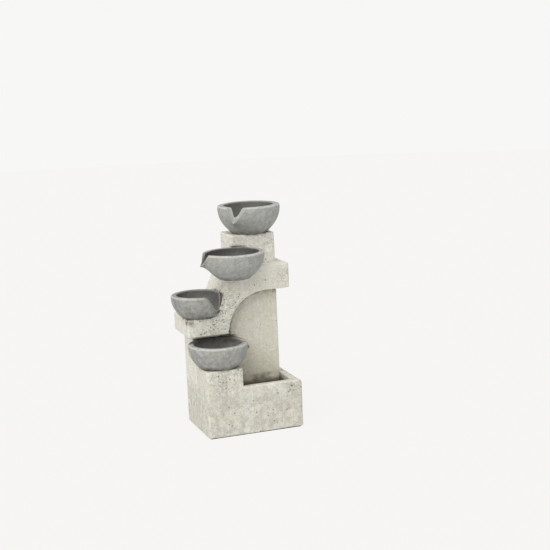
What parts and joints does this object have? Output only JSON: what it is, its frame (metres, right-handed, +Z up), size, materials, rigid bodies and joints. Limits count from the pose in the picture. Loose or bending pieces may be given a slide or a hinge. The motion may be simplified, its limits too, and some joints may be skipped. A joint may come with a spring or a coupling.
{
  "type": "tabletop water fountain",
  "caption": "Tabletop cascade fountain: cast basin, hollow tower with a quarter-arch front slab, spouted bowls on stepped ledges, and a recirculating pump behind a rear hatch.",
  "frame": {"origin": "centre of the base pad's underside, on the surface that the fountain stands on", "axes": "+Z up, -Y out of the front where the bowls are, +X to the right seen from the front"},
  "size_m": [0.218, 0.1881, 0.4035],
  "materials": {
    "sandstone_cast": "rough cast, fine pits",
    "bowl_cast": "honed cast, fine pits",
    "foam_pad": "matte",
    "black_plastic": "satin moulded",
    "grey_plastic": "satin moulded",
    "clear_tube": "clear vinyl",
    "soft_rubber": "matte",
    "lamination": "stacked sheet",
    "copper": "enamelled wire",
    "resin": "poured resin",
    "ceramic_shaft": "ground",
    "ferrite": "sintered",
    "blue_plastic": "satin moulded",
    "sponge": "open foam"
  },
  "bodies": {
    "fountain": {"basin_casting": "sandstone_cast", "base_pad": "foam_pad", "tower_casting": "sandstone_cast", "arch_casting": "sandstone_cast", "top_bowl": "bowl_cast", "upper_bowl": "bowl_cast", "middle_bowl": "bowl_cast", "lower_bowl": "bowl_cast", "outlet_gasket": "soft_rubber", "outlet_fitting": "grey_plastic", "outlet_nut": "grey_plastic", "pump_housing": "black_plastic", "stator_core": "lamination", "coil_bobbin": "grey_plastic", "coil_winding": "copper", "potting_seal": "resin", "pump_cord_gland": "soft_rubber", "impeller_cover": "black_plastic", "shaft_bushings": "soft_rubber", "rotor_shaft": "ceramic_shaft", "suction_cups": "soft_rubber", "pump_outlet_barb": "black_plastic", "supply_tube": "clear_tube", "tube_clips": "grey_plastic", "cord_grommet": "soft_rubber"},
    "rotor": {"rotor_magnet": "ferrite", "impeller": "blue_plastic"},
    "strainer": {"intake_strainer": "black_plastic", "filter_sponge": "sponge"},
    "regulator": {"flow_regulator": "grey_plastic"},
    "hatch": {"rear_hatch": "sandstone_cast"}
  },
  "joints": [
    {"name": "rotor_spin", "type": "hinge", "parent": "fountain", "child": "rotor", "pos_m": [0.01, 0.034, 0.0445], "axis": [1, 0, 0], "continuous": true},
    {"name": "strainer_pull", "type": "slide", "parent": "fountain", "child": "strainer", "axis": [-1, 0, 0], "range_m": [0, 0.028]},
    {"name": "flow_dial", "type": "hinge", "parent": "strainer", "child": "regulator", "pos_m": [-0.02, 0.034, 0.0385], "axis": [1, 0, 0], "range_deg": [0, 90]},
    {"name": "hatch_pull", "type": "slide", "parent": "fountain", "child": "hatch", "axis": [0, 1, 0], "range_m": [0, 0.04]}
  ]
}
